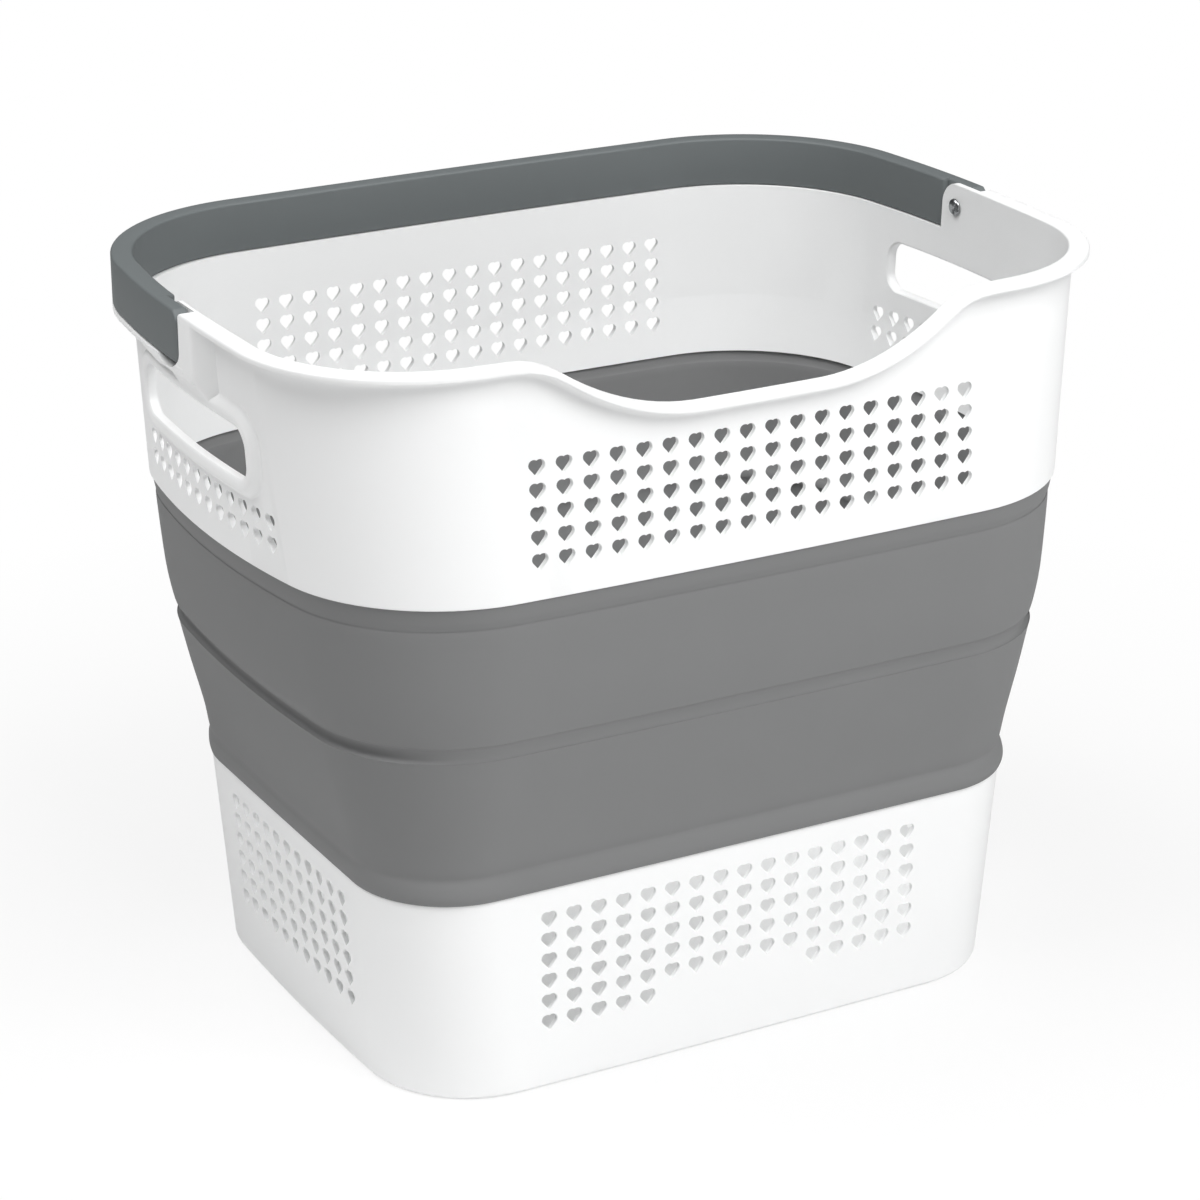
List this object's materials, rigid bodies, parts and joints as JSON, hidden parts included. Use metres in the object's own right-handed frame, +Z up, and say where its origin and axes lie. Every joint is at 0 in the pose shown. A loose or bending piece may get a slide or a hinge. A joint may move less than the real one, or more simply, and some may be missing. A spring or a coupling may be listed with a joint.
{
  "type": "collapsible laundry hamper",
  "caption": "Collapsible laundry hamper: perforated white tub and rimmed upper frame joined by a folding grey elastomer band, with hand slots and a swinging grey carry handle.",
  "frame": {"origin": "on the floor, under the middle of the base tub", "axes": "+X along the long side, +Y towards the rear, where the carry handle lies, +Z up; the front with the dipped rim faces -Y"},
  "size_m": [0.458, 0.3303, 0.38],
  "materials": {
    "white_plastic": "satin moulded polypropylene",
    "grey_elastomer": "matte thermoplastic elastomer",
    "grey_plastic": "matte moulded polypropylene",
    "pin_steel": "satin metal"
  },
  "bodies": {
    "base": {"base_tub": "white_plastic", "collapsible_band": "grey_elastomer"},
    "frame": {"upper_frame": "white_plastic"},
    "handle": {"carry_handle": "grey_plastic", "left_hinge_pin": "pin_steel", "right_hinge_pin": "pin_steel"}
  },
  "joints": [
    {"name": "frame_collapse", "type": "slide", "parent": "base", "child": "frame", "axis": [0, 0, -1], "range_m": [0, 0.24], "deforming": ["collapsible_band"]},
    {"name": "handle_swing", "type": "hinge", "parent": "frame", "child": "handle", "pos_m": [0, 0.0123, 0.3679], "axis": [1, 0, 0], "range_deg": [0, 90]}
  ]
}
